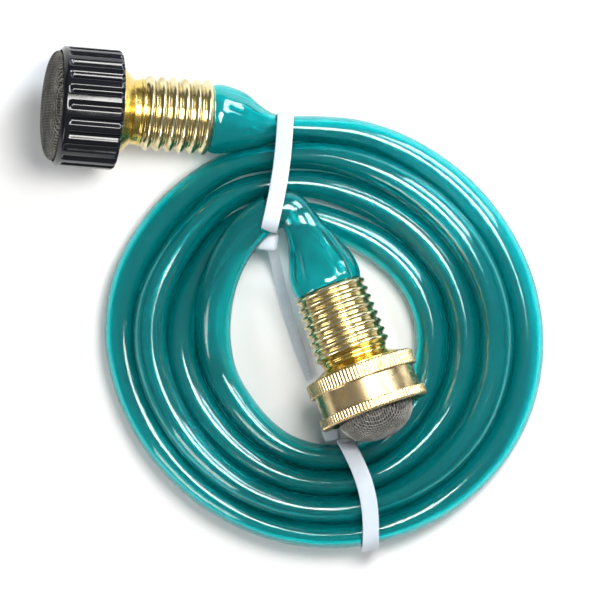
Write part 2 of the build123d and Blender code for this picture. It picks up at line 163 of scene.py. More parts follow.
# share of a turn from the top tie, and there: the coil's outer edge, the hose's half width, how far the
# second turn rides up, the gap inside the third turn, and how far a strap lifts the hose off the table
COIL_SHAPE = np.array([
    (0.000, 0.0638, 0.00365, 0.0000, 0.0000, 1.0),
    (0.038, 0.0633, 0.00400, 0.0016, 0.0005, 0.5),
    (0.088, 0.0623, 0.00450, 0.0036, 0.0006, 0.0),
    (0.144, 0.0614, 0.00480, 0.0047, 0.0002, 0.0),
    (0.200, 0.0618, 0.00485, 0.0046, 0.0002, 0.0),
    (0.284, 0.0633, 0.00485, 0.0039, 0.0002, 0.0),
    (0.332, 0.0639, 0.00485, 0.0037, 0.0002, 0.0),
    (0.382, 0.0640, 0.00482, 0.0043, 0.0002, 0.0),
    (0.438, 0.0632, 0.00440, 0.0035, 0.0001, 0.1),
    (0.490, 0.0623, 0.00380, 0.0002, 0.0000, 0.9),
    (0.520, 0.0621, 0.00375, 0.0002, 0.0000, 0.9),
    (0.558, 0.0617, 0.00372, 0.0020, 0.0000, 0.2),
    (0.620, 0.0613, 0.00390, 0.0036, 0.0001, 0.0),
    (0.676, 0.0616, 0.00430, 0.0046, 0.0002, 0.0),
    (0.732, 0.0626, 0.00465, 0.0050, 0.0006, 0.0),
    (0.782, 0.0640, 0.00485, 0.0052, 0.0010, 0.0),
    (0.830, 0.0639, 0.00485, 0.0048, 0.0010, 0.0),
    (0.886, 0.0622, 0.00460, 0.0028, 0.0006, 0.0),
    (0.934, 0.0607, 0.00410, 0.0012, 0.0002, 0.3),
    (0.958, 0.0600, 0.00390, 0.0007, 0.0001, 0.6),
    (0.980, 0.0583, 0.00372, 0.0003, 0.0000, 0.8),
    (1.000, 0.0565, 0.00365, 0.0000, 0.0000, 1.0),
])
CLIMB_START = 3.75  # turns; from here the last turn climbs on the one outside it
CLIMB = (  # angle in degrees, radius, height
    (204, 0.0325, 0.0053), (191, 0.0324, 0.0060), (179, 0.0325, 0.0079), (168, 0.0330, 0.0102),
    (157, 0.0338, 0.0124), (147, 0.0348, 0.0143), (137, 0.0360, 0.0160), (128, 0.0371, 0.0174),
    (120, 0.0380, 0.0184), (113, 0.0384, 0.0186),
)
CLIMB_EASE = 0.1  # turns over which the climbing end gets free of the squeeze
LOOSE_SPREAD = 0.0003  # the climbing end lies a little flat, its half width greater by this much
RING_STEP = 0.0019
RING_POINTS = 44


def coil_shape(turns):
    """The coil's shape at a number of turns from the start, read between the listed places."""
    share = np.mod(turns, 1.0)
    return [np.interp(share, COIL_SHAPE[:, 0], COIL_SHAPE[:, k]) for k in range(1, COIL_SHAPE.shape[1])]


def half_height(half_width):
    """Half height of the squeezed hose: an ellipse whose outline stays as long as the round hose's."""
    flat = 2 * HOSE_R - 2 * half_width
    return 2 * HOSE_R - half_width - flat ** 2 / (8 * HOSE_R)


def coil_point(turns):
    """A point of the hose's line. Each turn lies inside the one before, its own width nearer the middle;
    a turn that rides up by h needs only sqrt(1 - (h / height) ** 2) of that width."""
    edge, wide, rise, gap, lift = coil_shape(turns)
    tall = half_height(wide)
    beside = 2 * wide * np.sqrt(1 - (rise / (2 * tall)) ** 2)
    number = int(turns)
    inwards = (0.0, beside, 2 * beside, 2 * beside + 2 * wide + gap)[number]
    turn_end = TIE_ANGLES[number + 1] - 360
    angle = radians(TIE_ANGLES[number] + (turn_end - TIE_ANGLES[number]) * (turns - number))
    stand_off = 1 / cos(pi / STEPS_PER_TURN)  # the curve runs inside its control points by this much
    radius = (edge - wide - inwards) * stand_off
    up = tall + lift * STRAP_T + (rise if number == 1 else 0)
    return COIL + np.array([radius * cos(angle), radius * sin(angle), up])


coil_points = [coil_point(k / STEPS_PER_TURN) for k in range(int(CLIMB_START * STEPS_PER_TURN))]
for degrees, radius, up in CLIMB:
    coil_points.append(COIL + np.array([radius * cos(radians(degrees)), radius * sin(radians(degrees)), up]))


def unit(vectors):
    """Rows of vectors at length 1."""
    return vectors / np.linalg.norm(vectors, axis=1)[:, None]


def line_of(name, points):
    """Points close together along the smooth NURBS curve of order 3 that has these control points."""
    curve = bpy.data.curves.new(name, "CURVE")
    curve.dimensions = "3D"
    curve.resolution_u = 16
    spline = curve.splines.new("NURBS")
    spline.points.add(len(points) - 1)
    spline.points.foreach_set("co", np.c_[np.array(points), np.ones(len(points))].ravel())
    spline.order_u = 3
    spline.use_endpoint_u = True
    holder = bpy.data.objects.new(name, curve)
    mesh = bpy.data.meshes.new_from_object(holder)
    line = np.empty(len(mesh.vertices) * 3)
    mesh.vertices.foreach_get("co", line)
    bpy.data.meshes.remove(mesh)
    bpy.data.objects.remove(holder)
    return line.reshape(-1, 3)


def lengths_along(line):
    """How far along the line each of its points is."""
    return np.r_[0, np.cumsum(np.linalg.norm(np.diff(line, axis=0), axis=1))]


def evenly(line, step):
    """The same line with its points step apart."""
    along = lengths_along(line)
    places = np.linspace(0, along[-1], int(along[-1] / step) + 1)
    return np.stack([np.interp(places, along, line[:, k]) for k in range(3)], axis=1)


def rings(centres, half_widths, half_heights, wave=0.0):
    """An oval ring round each point of a line: centre + w cos(t) side + h sin(t) up, where side is level
    and square to the line, and wave scales each ring's point by its own share."""
    ahead = unit(np.gradient(centres, axis=0))
    side = unit(np.cross(ahead, (0, 0, 1)))
    up = np.cross(side, ahead)
    turn = np.linspace(0, 2 * pi, RING_POINTS, endpoint=False)
    across = (half_widths[:, None] * np.cos(turn) * (1 + wave))[..., None] * side[:, None]
    upwards = (half_heights[:, None] * np.sin(turn) * (1 + wave))[..., None] * up[:, None]
    return centres[:, None] + across + upwards


def piece_of(name, mesh, material, merge):
    """The piece with this mesh: points closer than merge are joined and all faces turned outwards."""
    work = bmesh.new()
    work.from_mesh(mesh)
    bmesh.ops.remove_doubles(work, verts=work.verts, dist=merge)
    bmesh.ops.recalc_face_normals(work, faces=work.faces)
    work.to_mesh(mesh)
    work.free()
    mesh.shade_smooth()
    mesh.materials.append(material)
    return placed(name, mesh)


def skin(name, points, material, close_rows=True, wall_place=None):
    """A closed mesh over a grid of points, rows x columns x 3, whose columns close on themselves. Its rows
    close too, or end in a point each, where the doubles are merged. wall_place gives each point
    (cos t, sin t, length along) for a pattern that follows the wall."""
    rows, columns = points.shape[:2]
    corner = np.arange(rows * columns).reshape(rows, columns)
    beside, above = np.roll(corner, -1, axis=1), np.roll(corner, -1, axis=0)
    across = np.roll(above, -1, axis=1)
    faces = np.stack([corner, beside, across, above], axis=-1)
    if not close_rows:
        faces = faces[:-1]
    mesh = bpy.data.meshes.new(name)
    mesh.from_pydata(points.reshape(-1, 3).tolist(), [], faces.reshape(-1, 4).tolist())
    if wall_place is not None:
        place = mesh.attributes.new("wall_place", "FLOAT_VECTOR", "POINT")
        place.data.foreach_set("vector", wall_place.ravel())
    return piece_of(name, mesh, material, 1e-7)


def hose_material():
    """Clear green PVC: a glassy wall that swallows red light with its thickness and scatters a little
    green back, with faint lines left along it by the extrusion die."""
    material, nodes, links = empty_material("green_pvc")
    wall = nodes.new("ShaderNodeAttribute")
    wall.label = "round the wall and along the hose"
    wall.attribute_name = "wall_place"
    wall.location = (-1200, 0)
    die_frame = nodes.new("NodeFrame")
    die_frame.label = "die lines"
    stretch = nodes.new("ShaderNodeMapping")
    stretch.label = "drawn out along the hose"
    stretch.location = (-1000, 0)
    stretch.parent = die_frame
    stretch.inputs["Scale"].default_value = (1.0, 1.0, 6.0)
    lines = nodes.new("ShaderNodeTexNoise")
    lines.label = "die lines"
    lines.location = (-800, 0)
    lines.parent = die_frame
    lines.inputs["Scale"].default_value = 7.0
    lines.inputs["Detail"].default_value = 3.0
    relief = nodes.new("ShaderNodeBump")
    relief.label = "lines in relief"
    relief.location = (-550, -200)
    relief.parent = die_frame
    relief.inputs["Strength"].default_value = 0.35
    relief.inputs["Distance"].default_value = 0.00012
    surface = nodes.new("ShaderNodeBsdfPrincipled")
    surface.label = "clear PVC"
    surface.location = (-250, 0)
    surface.inputs["Base Color"].default_value = (0.001, 0.72, 0.735, 1)
    surface.inputs["Transmission Weight"].default_value = 0.93
    surface.inputs["Roughness"].default_value = 0.08
    surface.inputs["IOR"].default_value = 1.5
    depth = nodes.new("ShaderNodeVolumeAbsorption")
    depth.label = "green with depth"
    depth.location = (-250, -450)
    depth.inputs["Color"].default_value = (0.0, 0.80, 0.80, 1)
    depth.inputs["Density"].default_value = 380.0
    out = nodes.new("ShaderNodeOutputMaterial")
    out.location = (100, 0)
    links.new(wall.outputs["Vector"], stretch.inputs["Vector"])
    links.new(stretch.outputs["Vector"], lines.inputs["Vector"])
    links.new(lines.outputs["Fac"], relief.inputs["Height"])
    links.new(relief.outputs["Normal"], surface.inputs["Normal"])
    links.new(surface.outputs["BSDF"], out.inputs["Surface"])
    links.new(depth.outputs["Volume"], out.inputs["Volume"])
    return material


green_pvc = hose_material()


def hose_wall(name, line, wide, tall, wave=0.0):
    """The hose's wall round a line: its outside, then its bore, joined by a flat ring at each end."""
    outside = rings(line, wide, tall, wave)
    inside = rings(line, wide - HOSE_WALL, tall - HOSE_WALL, wave)
    turn = np.linspace(0, 2 * pi, RING_POINTS, endpoint=False)
    turn, along = np.meshgrid(turn, lengths_along(line))
    place = np.stack([np.cos(turn), np.sin(turn), along], axis=-1)
    return skin(name, np.concatenate([outside, inside[::-1]]), green_pvc,
                wall_place=np.concatenate([place, place[::-1]]).astype(np.float32))


coil_line = evenly(line_of("coil_route", coil_points), RING_STEP)
bearing = np.unwrap(np.arctan2(coil_line[:, 1] - COIL[1], coil_line[:, 0] - COIL[0]))
# turns from the start at each ring, from the angle that the line has gone round
turn_count = np.arange(TURNS + 1)
tie_bearings = np.radians(np.array(TIE_ANGLES) - 360 * turn_count)
ring_turns = np.interp(-bearing, -tie_bearings, turn_count)
ring_wide = coil_shape(ring_turns)[1]
# the climbing end isn't squeezed by the top strap
climbed = np.clip((ring_turns - CLIMB_START) / CLIMB_EASE, 0, 1)
ring_wide = ring_wide + (HOSE_R + LOOSE_SPREAD - ring_wide) * climbed
ring_tall = half_height(ring_wide)
hose = hose_wall("hose", coil_line, ring_wide, ring_tall)
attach(hose, "root")
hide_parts("hose_coil")

# ---- hose: the flared ends ----
# The last 2 to 3 cm of hose at each end, stretched over the coupling's shank so that it widens like a
# bell into the ferrule. Each starts under the top tie, where the inner one lies a little flat.
OUTER_HOSE_END, OUTER_AZIMUTH, OUTER_TILT = (-0.0330, 0.0623, 0.01245), 175.8, 10.0
INNER_HOSE_END, INNER_AZIMUTH, INNER_TILT = (0.0010, 0.0134, 0.01986), -69.6, 6.0
SLEEVE_R, FLARE_R = 0.0092, 0.0100  # inside the ferrule and at its edge
FERRULE_GRIP = 0.004  # how far the visible wall runs on inside the ferrule
FLARE_STEP, SMOOTH_ROWS = 0.0006, 9
OUTER_START = (-0.003, 0.0001, 0.0004)  # the outer end's first point past the coil's
OUTER_STRAIGHT, INNER_STRAIGHT = 0.005, 0.002  # from here to the ferrule the route follows the coupling
# the route's points between those, from the coil's middle
OUTER_BEND = [(-0.0200, 0.0598, 0.0098)]
INNER_BEND = [
    (-0.0106, 0.0369, 0.0186), (-0.0076, 0.0330, 0.0183), (-0.0046, 0.0276, 0.0184),
    (-0.0025, 0.0228, 0.0189),
]
# distance left to the ferrule, and there half width and half height
FLARE_EDGE = [(0.0003, FLARE_R, FLARE_R), (-0.0005, SLEEVE_R, SLEEVE_R)]
OUTER_FLARE = [
    (0.021, 0.00365, 0.0062), (0.017, 0.0048, 0.0058), (0.013, 0.0066, 0.0066), (0.008, 0.0090, 0.0088),
    (0.003, 0.0101, 0.0100),
]
INNER_FLARE = [
    (0.027, 0.0051, 0.0047), (0.021, 0.0052, 0.0042), (0.018, 0.0057, 0.0046), (0.012, 0.0078, 0.0068),
    (0.006, 0.0100, 0.0092), (0.002, 0.0102, 0.0100),
]
# creases in the wall: angle round it, width in radians, and depth as a share of the radius
OUTER_CREASES = [
    (0.714, 0.13, 0.08), (1.142, 0.13, 0.11), (1.571, 0.13, 0.08), (2.0, 0.13, 0.11), (3.9, 0.25, 0.05),
]
INNER_CREASES = [
    (0.857, 0.13, 0.14), (1.285, 0.13, 0.15), (1.714, 0.13, 0.17), (2.142, 0.13, 0.15), (2.571, 0.13, 0.13),
    (4.2, 0.3, 0.06),
]
CREASES_AT, CREASES_REACH = 0.0085, 0.0065  # deepest this far from the ferrule, fading over this much


def coupling_frame(hose_end, azimuth, tilt):
    """A coupling's place and axes: its ferrule's hose end, then rows along the axis, level, and upwards."""
    turn, climb = radians(azimuth), radians(tilt)
    along = np.array([cos(climb) * cos(turn), cos(climb) * sin(turn), sin(climb)])
    level = np.array([-sin(turn), cos(turn), 0.0])
    return COIL + np.array(hose_end), np.array([along, level, np.cross(along, level)])


outer_coupling = coupling_frame(OUTER_HOSE_END, OUTER_AZIMUTH, OUTER_TILT)
inner_coupling = coupling_frame(INNER_HOSE_END, INNER_AZIMUTH, INNER_TILT)


def flared_end(name, route, shape, creases):
    """Hose round a route, whose rings follow the shape smoothly, with creases folded into its wall: each
    takes depth exp(-((t - at) / width) ** 2) of the radius away."""
    line = evenly(line_of(name, route), FLARE_STEP)
    along = lengths_along(line)
    left = along[-1] - along - FERRULE_GRIP
    shape = np.array(shape + FLARE_EDGE)[::-1]
    smooth = np.hanning(SMOOTH_ROWS) / np.hanning(SMOOTH_ROWS).sum()
    rough = [np.pad(np.interp(left, shape[:, 0], shape[:, k]), SMOOTH_ROWS // 2, "edge") for k in (1, 2)]
    wide, tall = (np.convolve(rows, smooth, "valid") for rows in rough)
    turn = np.linspace(0, 2 * pi, RING_POINTS, endpoint=False)
    fade = np.exp(-(((left - CREASES_AT) / CREASES_REACH) ** 2))[:, None]
    wave = sum(-depth * fade * np.exp(-(((turn - at) / width) ** 2)) for at, width, depth in creases)
    return hose_wall(name, line, wide, tall, wave)


end, axes = outer_coupling
outer_route = [coil_line[0], coil_line[0] + OUTER_START] + [COIL + bend for bend in OUTER_BEND]
outer_route += [end - OUTER_STRAIGHT * axes[0], end + FERRULE_GRIP * axes[0]]
outer_end = flared_end("outer_hose_end", outer_route, OUTER_FLARE, OUTER_CREASES)
end, axes = inner_coupling
inner_route = [coil_line[-1]] + [COIL + bend for bend in INNER_BEND]
inner_route += [end - INNER_STRAIGHT * axes[0], end + FERRULE_GRIP * axes[0]]
inner_end = flared_end("inner_hose_end", inner_route, INNER_FLARE, INNER_CREASES)
for piece, node in ((outer_end, "outer_hose_lead"), (inner_end, "inner_hose_lead")):
    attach(piece, "root")
    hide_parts(node)

# ---- ferrules ----
# Thin brass sleeves slid over the flared hose and pressed by a crimping die, which leaves round ribs
# and, in the grooves between them, the faint flats of its jaws.
FERRULE_LENGTH, FERRULE_BORE_R = 0.020, 0.0093
PER_RIB, RIB_CREST = 14, 1.2  # points a rib, and how narrow its crest is: 1 is a plain arch
JAWS, JAW_MARK = 8, 0.00006
BORE_FLARE, BORE_LIP = 0.0002, 0.0004  # the bore's edges open by this much over this length
COLUMNS, FEW_COLUMNS = 128, 96  # round the axis
ROWS_PER_CORNER = 7  # points that eased gives for each corner
EASED_SHARE, FLAT_FROM = 0.35, 1.3  # most of a side that a corner takes, and where its flats begin


def turned(profile, columns=COLUMNS, change=None):
    """A profile of (place along the axis, radius) turned round the axis: (s, r cos t, r sin t). change
    gives a length to add to the radius from the place and the angle."""
    turn = np.linspace(0, 2 * pi, columns, endpoint=False)
    along, radius = profile[:, :1] + 0 * turn, profile[:, 1:] + 0 * turn
    if change is not None:
        radius = radius + change(along, turn) * (radius > 0)
    return np.stack([along, radius * np.cos(turn), radius * np.sin(turn)], axis=-1)


def on_coupling(coupling, points):
    """Points given along a coupling's own axes, placed on the coil."""
    place, axes = coupling
    return place + points @ axes


def eased(profile, radius, steps=ROWS_PER_CORNER - 2):
    """A closed profile with each corner c turned into the curve (1-t)^2 a + 2t(1-t) c + t^2 b between a and
    b, radius away along its sides, and a point beyond each so that the flats stay flat in shading."""
    profile = np.array(profile, float)
    before, after = np.roll(profile, 1, axis=0) - profile, np.roll(profile, -1, axis=0) - profile
    long_before, long_after = np.linalg.norm(before, axis=1), np.linalg.norm(after, axis=1)
    reach_before = np.minimum(radius, EASED_SHARE * long_before)
    reach_after = np.minimum(radius, EASED_SHARE * long_after)
    a = profile + before * (reach_before / long_before)[:, None]
    b = profile + after * (reach_after / long_after)[:, None]
    t = np.linspace(0, 1, steps)[:, None, None]
    arc = (1 - t) ** 2 * a + 2 * t * (1 - t) * profile + t ** 2 * b
    lead_in = profile + before * (FLAT_FROM * reach_before / long_before)[:, None]
    lead_out = profile + after * (FLAT_FROM * reach_after / long_after)[:, None]
    return np.concatenate([lead_in[None], arc, lead_out[None]]).transpose(1, 0, 2).reshape(-1, 2)


def metal_material(name, colour, dark, rough, ring_scale, coupling, grain=0.25):
    """Turned or pressed metal: fine rings round the axis from the tool, and cloudy tarnish that dulls and
    darkens the colour."""
    material, nodes, links = empty_material(name)
    place = nodes.new("ShaderNodeTexCoord")
    place.label = "place on the piece"
    place.location = (-1400, 0)
    turn = nodes.new("ShaderNodeMapping")
    turn.label = "turn to the coupling's axis"
    turn.location = (-1200, 0)
    turn.inputs["Rotation"].default_value = Matrix(coupling[1].tolist()).to_euler()
    tool_frame = nodes.new("NodeFrame")
    tool_frame.label = "tool rings"
    tool = nodes.new("ShaderNodeTexNoise")
    tool.label = "rings left by the tool"
    tool.noise_dimensions = "1D"
    tool.location = (-900, -300)
    tool.parent = tool_frame
    tool.inputs["Scale"].default_value = ring_scale
    tool.inputs["Detail"].default_value = 4.0
    split = nodes.new("ShaderNodeSeparateXYZ")
    split.label = "place along the axis"
    split.location = (-1050, -300)
    split.parent = tool_frame
    tarnish_frame = nodes.new("NodeFrame")
    tarnish_frame.label = "tarnish"
    cloud = nodes.new("ShaderNodeTexNoise")
    cloud.label = "tarnish clouds"
    cloud.location = (-900, 200)
    cloud.parent = tarnish_frame
    cloud.inputs["Scale"].default_value = 260.0
    cloud.inputs["Detail"].default_value = 6.0
    cloud.inputs["Roughness"].default_value = 0.6
    colours = nodes.new("ShaderNodeValToRGB")
    colours.label = "bright to tarnished"
    colours.location = (-600, 250)
    colours.parent = tarnish_frame
    colours.color_ramp.elements[0].position = 0.30
    colours.color_ramp.elements[0].color = dark
    colours.color_ramp.elements[1].position = 0.58
    colours.color_ramp.elements[1].color = colour
    gloss = nodes.new("ShaderNodeMapRange")
    gloss.label = "dull where tarnished"
    gloss.location = (-600, -20)
    gloss.parent = tarnish_frame
    gloss.inputs["From Min"].default_value = 0.35
    gloss.inputs["From Max"].default_value = 0.70
    gloss.inputs["To Min"].default_value = rough + 0.14
    gloss.inputs["To Max"].default_value = rough
    relief = nodes.new("ShaderNodeBump")
    relief.label = "tool rings in relief"
    relief.location = (-600, -300)
    relief.parent = tool_frame
    relief.inputs["Strength"].default_value = grain
    relief.inputs["Distance"].default_value = 0.00004
    surface = nodes.new("ShaderNodeBsdfPrincipled")
    surface.label = "polished metal"
    surface.location = (-200, 0)
    surface.inputs["Metallic"].default_value = 1.0
    out = nodes.new("ShaderNodeOutputMaterial")
    out.location = (100, 0)
    links.new(place.outputs["Object"], turn.inputs["Vector"])
    links.new(turn.outputs["Vector"], split.inputs["Vector"])
    links.new(split.outputs["X"], tool.inputs["W"])
    links.new(place.outputs["Object"], cloud.inputs["Vector"])
    links.new(cloud.outputs["Fac"], colours.inputs["Fac"])
    links.new(cloud.outputs["Fac"], gloss.inputs["Value"])
    links.new(tool.outputs["Fac"], relief.inputs["Height"])
    links.new(colours.outputs["Color"], surface.inputs["Base Color"])
    links.new(gloss.outputs["Result"], surface.inputs["Roughness"])
    links.new(relief.outputs["Normal"], surface.inputs["Normal"])
    links.new(surface.outputs["BSDF"], out.inputs["Surface"])
    return material


FERRULE_BRASS, FERRULE_DARK = (0.76, 0.65, 0.38, 1), (0.46, 0.38, 0.20, 1)
for name, coupling, ribs, first_crest, last_crest, depth in (
    ("outer_ferrule", outer_coupling, 6, 0.01085, 0.01085, 0.0014),
    ("inner_ferrule", inner_coupling, 8, 0.0104, 0.0112, 0.0011),
):
    place = np.linspace(0, 1, ribs * PER_RIB + 1)
    crest = first_crest + (last_crest - first_crest) * place
    bulge = np.abs(np.sin(pi * ribs * place)) ** RIB_CREST
    outline = np.c_[place * FERRULE_LENGTH, crest - depth * (1 - bulge)]
    bore = np.array([
        (FERRULE_LENGTH, FERRULE_BORE_R + BORE_FLARE), (FERRULE_LENGTH - BORE_LIP, FERRULE_BORE_R),
        (BORE_LIP, FERRULE_BORE_R), (0, FERRULE_BORE_R + BORE_FLARE),
    ])

    def jaw_marks(along, turn):
        """The die's jaws: deepest in the grooves, nothing on the crests."""
        return -JAW_MARK * np.cos(JAWS * turn) ** 2 * np.cos(pi * ribs * along / FERRULE_LENGTH) ** 2

    sleeve = turned(np.concatenate([outline, bore]), COLUMNS, jaw_marks)
    brass = metal_material(name + "_brass", FERRULE_BRASS, FERRULE_DARK, 0.14, 1500.0, coupling, 0.06)
    ferrule = skin(name + "_ribbed", on_coupling(coupling, sleeve), brass)
    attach(ferrule, "root")
    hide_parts(name)

# ---- tailpieces ----
# Turned brass: a shank inside the hose, a bright neck, and a cone that swells to meet the nut. A narrow
# journal runs through the nut's back wall and a flange inside keeps the nut on.
SHANK_R, SHANK_BORE_R = 0.0071, 0.0052
NECK_R, JOURNAL_R = 0.0098, 0.0102
FLANGE_R, FLANGE_T, AXIAL_GAP = 0.0126, 0.0024, 0.0001
SHANK_START, SHANK_END = 0.001, 0.019
SHOULDER_STEP = 0.001  # the shank's cone ends this much below the neck
COLLAR, COLLAR_SLOPE, COLLAR_HEIGHT = 0.0007, 0.0003, 0.0004  # a low collar beside the ferrule
CONE_BAND = 0.0004  # the plain edge of the cone's wide end
OUTER_NUT_START, OUTER_BACK_WALL = 0.0270, 0.0028
INNER_NUT_START, INNER_BACK_WALL = 0.0244, 0.0024
NECK_BRASS, NECK_DARK = (0.74, 0.54, 0.15, 1), (0.44, 0.31, 0.08, 1)
for name, coupling, nut_start, neck_end, cone_r, wall in (
    ("outer_tailpiece", outer_coupling, OUTER_NUT_START, 0.0234, 0.0130, OUTER_BACK_WALL),
    ("inner_tailpiece", inner_coupling, INNER_NUT_START, 0.0222, 0.0133, INNER_BACK_WALL),
):
    cone_end = nut_start - AXIAL_GAP
    flange_start = nut_start + wall + AXIAL_GAP
    flange_end = flange_start + FLANGE_T
    neck_start = FERRULE_LENGTH + AXIAL_GAP
    hollow_r = NECK_R - COLLAR_HEIGHT
    profile = eased([
        (SHANK_START, SHANK_BORE_R), (SHANK_START, SHANK_R), (SHANK_END, SHANK_R),
        (neck_start, NECK_R - SHOULDER_STEP), (neck_start, NECK_R), (neck_start + COLLAR, NECK_R),
        (neck_start + COLLAR + COLLAR_SLOPE, hollow_r), (neck_end - COLLAR_SLOPE, hollow_r),
        (neck_end, NECK_R), (cone_end - CONE_BAND, cone_r), (cone_end, cone_r), (cone_end, JOURNAL_R),
        (flange_start, JOURNAL_R), (flange_start, FLANGE_R), (flange_end, FLANGE_R),
        (flange_end, SHANK_BORE_R),
    ], 0.0002)
    brass = metal_material(name + "_brass", NECK_BRASS, NECK_DARK, 0.14, 5200.0, coupling)
    tailpiece = skin(name + "_turned", on_coupling(coupling, turned(profile)), brass)
    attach(tailpiece, "root")
    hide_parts(name)

# ---- black nut ----
# Moulded glossy black plastic, with 24 round grooves between finger ribs that stop at a plain band, a
# chamfered mouth and a stepped seat inside it for the strainer.
NUT_R, NUT_LENGTH = 0.0172, 0.0175
THREAD_R, SEAT_R, SEAT_DEPTH = 0.0135, 0.0160, 0.0030
RIBS, GROOVE_DEPTH, PLAIN_BAND = 24, 0.0009, 0.0016
GROOVE_OPEN, GROOVE_RUN_OUT, PER_GROOVE = 0.25, 0.0008, 18
BACK_CHAMFER, MOUTH_CHAMFER = (0.0008, 0.0006), (0.0009, 0.0009)  # along the axis and inwards
BACK_EDGE, MOUTH_EDGE, WALL_ROWS = 0.0016, 0.0012, 30  # between the edges the wall has close rows
PLAY = 0.00005  # round the journal and round the strainer's rim
nut_back = OUTER_NUT_START + OUTER_BACK_WALL
mouth = OUTER_NUT_START + NUT_LENGTH
seat = mouth - SEAT_DEPTH


def plastic_material(name, colour, rough, grain):
    """Moulded plastic: a fine orange-peel skin, with scuffs that dull the gloss in places."""
    material, nodes, links = empty_material(name)
    place = nodes.new("ShaderNodeTexCoord")
    place.label = "place on the piece"
    place.location = (-1100, 0)
    skin_frame = nodes.new("NodeFrame")
    skin_frame.label = "moulded skin"
    peel = nodes.new("ShaderNodeTexNoise")
    peel.label = "orange peel"
    peel.location = (-800, -250)
    peel.parent = skin_frame
    peel.inputs["Scale"].default_value = 900.0
    peel.inputs["Detail"].default_value = 2.0
    relief = nodes.new("ShaderNodeBump")
    relief.label = "skin in relief"
    relief.location = (-550, -250)
    relief.parent = skin_frame
    relief.inputs["Strength"].default_value = grain
    relief.inputs["Distance"].default_value = 0.00004
    scuff_frame = nodes.new("NodeFrame")
    scuff_frame.label = "scuffs"
    scuffs = nodes.new("ShaderNodeTexNoise")
    scuffs.label = "handling scuffs"
    scuffs.location = (-800, 100)
    scuffs.parent = scuff_frame
    scuffs.inputs["Scale"].default_value = 140.0
    scuffs.inputs["Detail"].default_value = 8.0
    scuffs.inputs["Roughness"].default_value = 0.7
    gloss = nodes.new("ShaderNodeMapRange")
    gloss.label = "dull where scuffed"
    gloss.location = (-550, 100)
    gloss.parent = scuff_frame
    gloss.inputs["From Min"].default_value = 0.45
    gloss.inputs["From Max"].default_value = 0.75
    gloss.inputs["To Min"].default_value = rough
    gloss.inputs["To Max"].default_value = rough + 0.16
    surface = nodes.new("ShaderNodeBsdfPrincipled")
    surface.label = "moulded plastic"
    surface.location = (-200, 0)
    surface.inputs["Base Color"].default_value = colour
    out = nodes.new("ShaderNodeOutputMaterial")
    out.location = (100, 0)
    links.new(place.outputs["Object"], peel.inputs["Vector"])
    links.new(peel.outputs["Fac"], relief.inputs["Height"])
    links.new(place.outputs["Object"], scuffs.inputs["Vector"])
    links.new(scuffs.outputs["Fac"], gloss.inputs["Value"])
    links.new(gloss.outputs["Result"], surface.inputs["Roughness"])
    links.new(relief.outputs["Normal"], surface.inputs["Normal"])
    links.new(surface.outputs["BSDF"], out.inputs["Surface"])
    return material


wall_rows = np.linspace(OUTER_NUT_START + BACK_EDGE, mouth - MOUTH_EDGE, WALL_ROWS)
outer_wall = np.c_[wall_rows, np.full(WALL_ROWS, NUT_R)]
back_corner = (OUTER_NUT_START, JOURNAL_R + PLAY)
back_edge = eased([
    back_corner, (OUTER_NUT_START, NUT_R - BACK_CHAMFER[1]), (OUTER_NUT_START + BACK_CHAMFER[0], NUT_R),
    (OUTER_NUT_START + BACK_EDGE, NUT_R),
], 0.0004)[ROWS_PER_CORNER:-ROWS_PER_CORNER]
mouth_edge = eased([
    (mouth - MOUTH_EDGE, NUT_R), (mouth - MOUTH_CHAMFER[0], NUT_R), (mouth, NUT_R - MOUTH_CHAMFER[1]),
    (mouth, SEAT_R), (seat, SEAT_R), (seat, THREAD_R), (nut_back, THREAD_R), (nut_back, JOURNAL_R + PLAY),
    back_corner,
], 0.0003)[ROWS_PER_CORNER:]
nut_profile = np.concatenate([back_edge, outer_wall, mouth_edge])
# 1 on the outer wall, falling to nothing over the chamfers
on_outside = np.clip((nut_profile[:, 1:] - (NUT_R - MOUTH_CHAMFER[1])) / BACK_CHAMFER[1], 0, 1)


def grooves(along, turn):
    """Grooves round the outside: (cos(24 t) + 0.25) / 1.25 where positive, run out before the mouth."""
    run_out = np.clip((mouth - PLAIN_BAND - along) / GROOVE_RUN_OUT, 0, 1)
    shape = np.clip((np.cos(RIBS * turn) + GROOVE_OPEN) / (1 + GROOVE_OPEN), 0, 1)
    return -GROOVE_DEPTH * shape * run_out ** 2 * (3 - 2 * run_out) * on_outside


nut_points = turned(nut_profile, RIBS * PER_GROOVE, grooves)
black_nut = skin("black_nut_ribbed", on_coupling(outer_coupling, nut_points),
                 plastic_material("black_plastic", (0.004, 0.004, 0.006, 1), 0.12, 0.10))
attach(black_nut, "black_nut")
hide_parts("black_nut")

